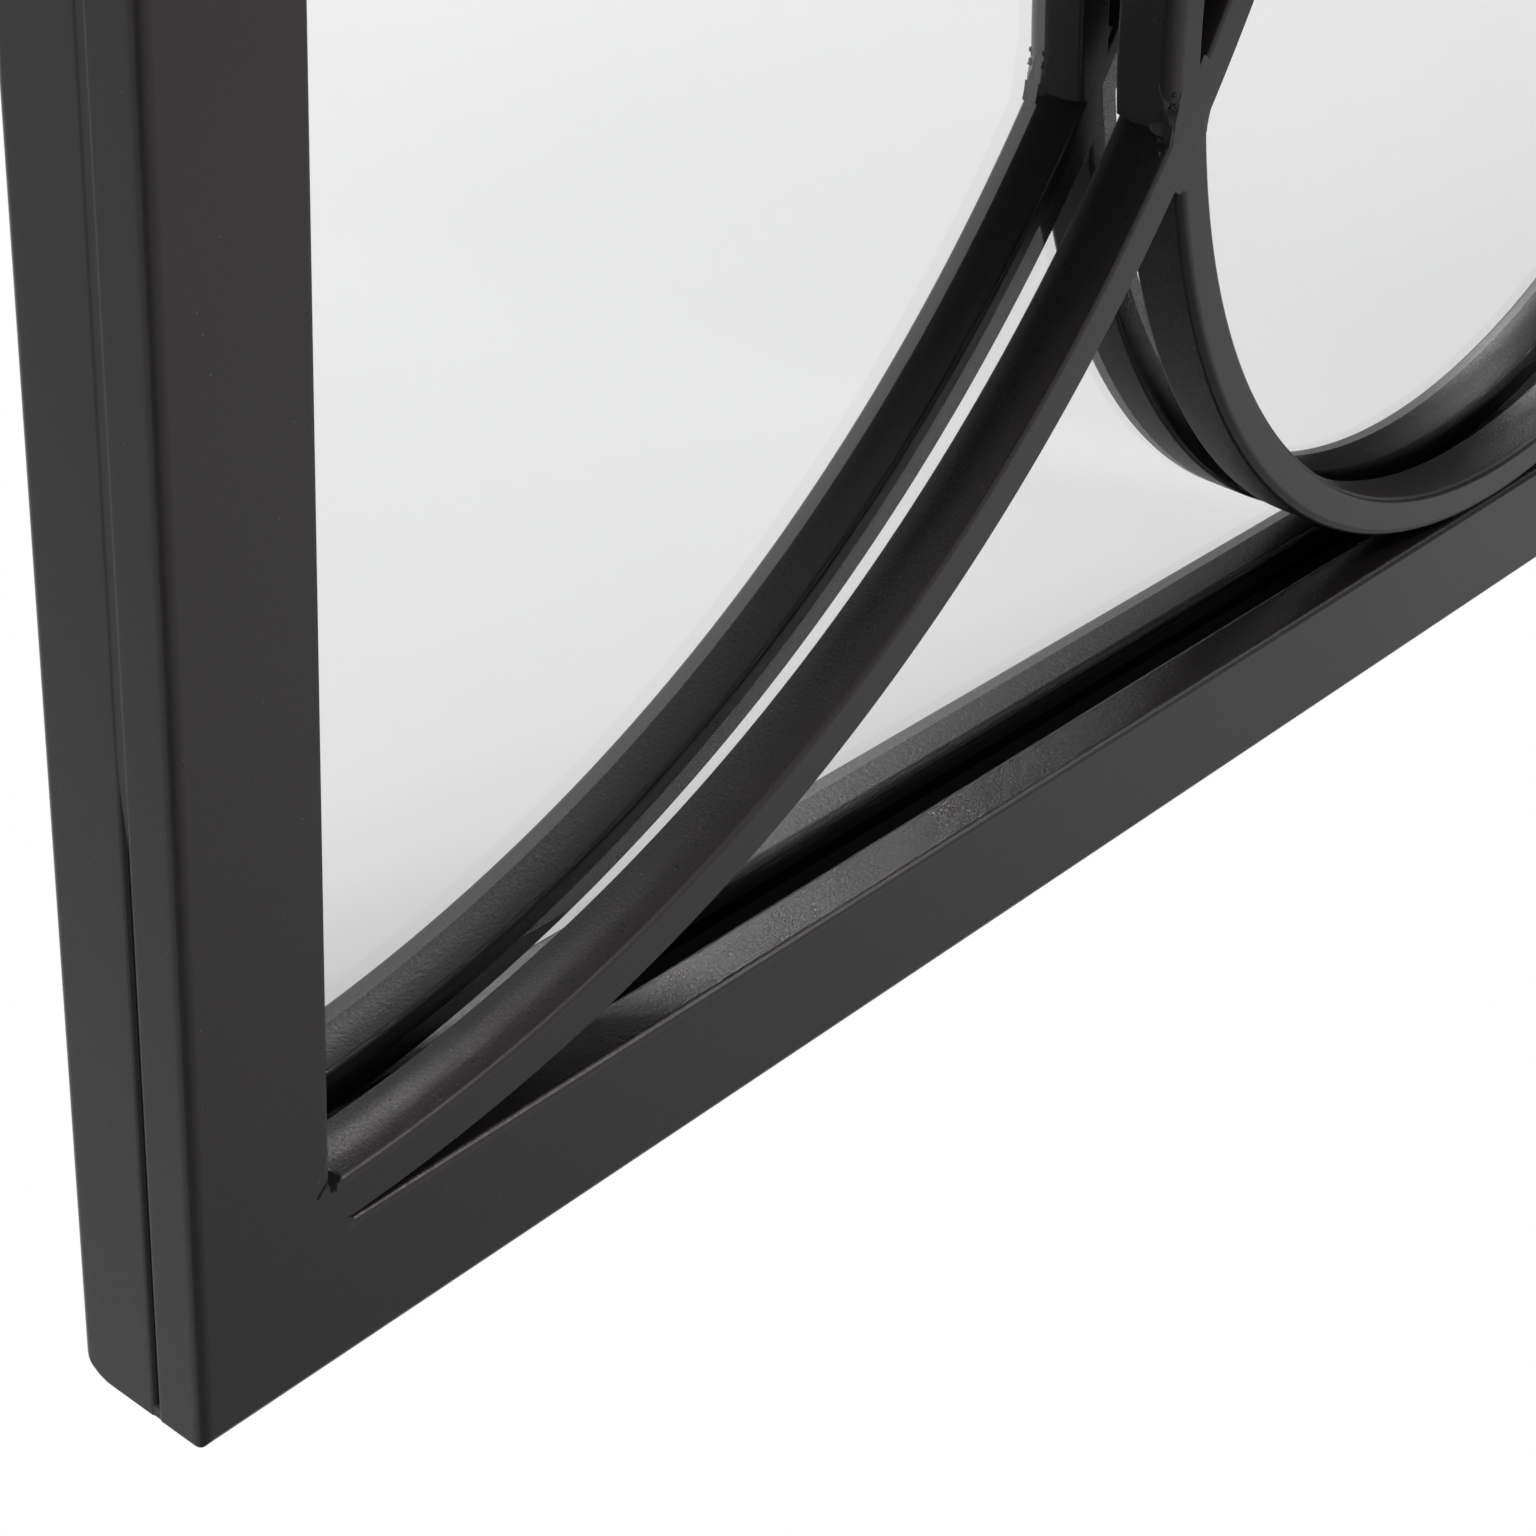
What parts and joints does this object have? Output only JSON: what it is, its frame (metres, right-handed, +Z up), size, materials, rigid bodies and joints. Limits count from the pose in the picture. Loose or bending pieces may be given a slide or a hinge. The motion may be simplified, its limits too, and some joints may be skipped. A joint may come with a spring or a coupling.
{
  "type": "wall mirror",
  "caption": "Landscape wall mirror: layered black steel tube frame, with half circles and interlocking rings of flat bar in front of the glass, hung by swinging D-rings on the back.",
  "frame": {"origin": "centre of the mirror on the wall plane, where the bumpers' flat ends lie", "axes": "+X to the right seen from the front, +Y into the wall, +Z up"},
  "size_m": [0.7112, 0.032, 0.5334],
  "materials": {
    "frame_paint": "satin black powder coat",
    "mirror_glass": "polished, silvered back",
    "glazing_foam": "matte foam",
    "backing_board": "raw fibreboard",
    "zinc_steel": "zinc plated",
    "ring_steel": "zinc plated",
    "screw_steel": "zinc plated",
    "bumper_rubber": "matte"
  },
  "bodies": {
    "mirror": {"front_left_stile": "frame_paint", "front_right_stile": "frame_paint", "front_bottom_rail": "frame_paint", "front_top_rail": "frame_paint", "back_left_stile": "frame_paint", "back_right_stile": "frame_paint", "back_bottom_rail": "frame_paint", "back_top_rail": "frame_paint", "left_half_circle_bar": "frame_paint", "right_half_circle_bar": "frame_paint", "lower_ring_rail_run": "frame_paint", "lower_ring_middle_run": "frame_paint", "lower_ring_left_run": "frame_paint", "lower_ring_right_run": "frame_paint", "upper_ring_rail_run": "frame_paint", "upper_ring_middle_run": "frame_paint", "upper_ring_left_run": "frame_paint", "upper_ring_right_run": "frame_paint", "seam_welds": "frame_paint", "bar_welds": "frame_paint", "left_glazing_strip": "glazing_foam", "right_glazing_strip": "glazing_foam", "bottom_glazing_strip": "glazing_foam", "top_glazing_strip": "glazing_foam", "mirror_glass": "mirror_glass", "back_board": "backing_board", "board_clips": "zinc_steel", "clip_screws": "screw_steel", "hanger_screws": "screw_steel", "wall_bumpers": "bumper_rubber", "left_hanger_strap": "zinc_steel", "right_hanger_strap": "zinc_steel"},
    "left_ring": {"left_hanger_ring": "ring_steel"},
    "right_ring": {"right_hanger_ring": "ring_steel"}
  },
  "joints": [
    {"name": "left_ring_swing", "type": "hinge", "parent": "mirror", "child": "left_ring", "pos_m": [-0.3476, -0.0037, 0.1567], "axis": [1, 0, 0], "range_deg": [0, 174]},
    {"name": "right_ring_swing", "type": "hinge", "parent": "mirror", "child": "right_ring", "pos_m": [0.3476, -0.0037, 0.1567], "axis": [1, 0, 0], "range_deg": [0, 174]}
  ]
}
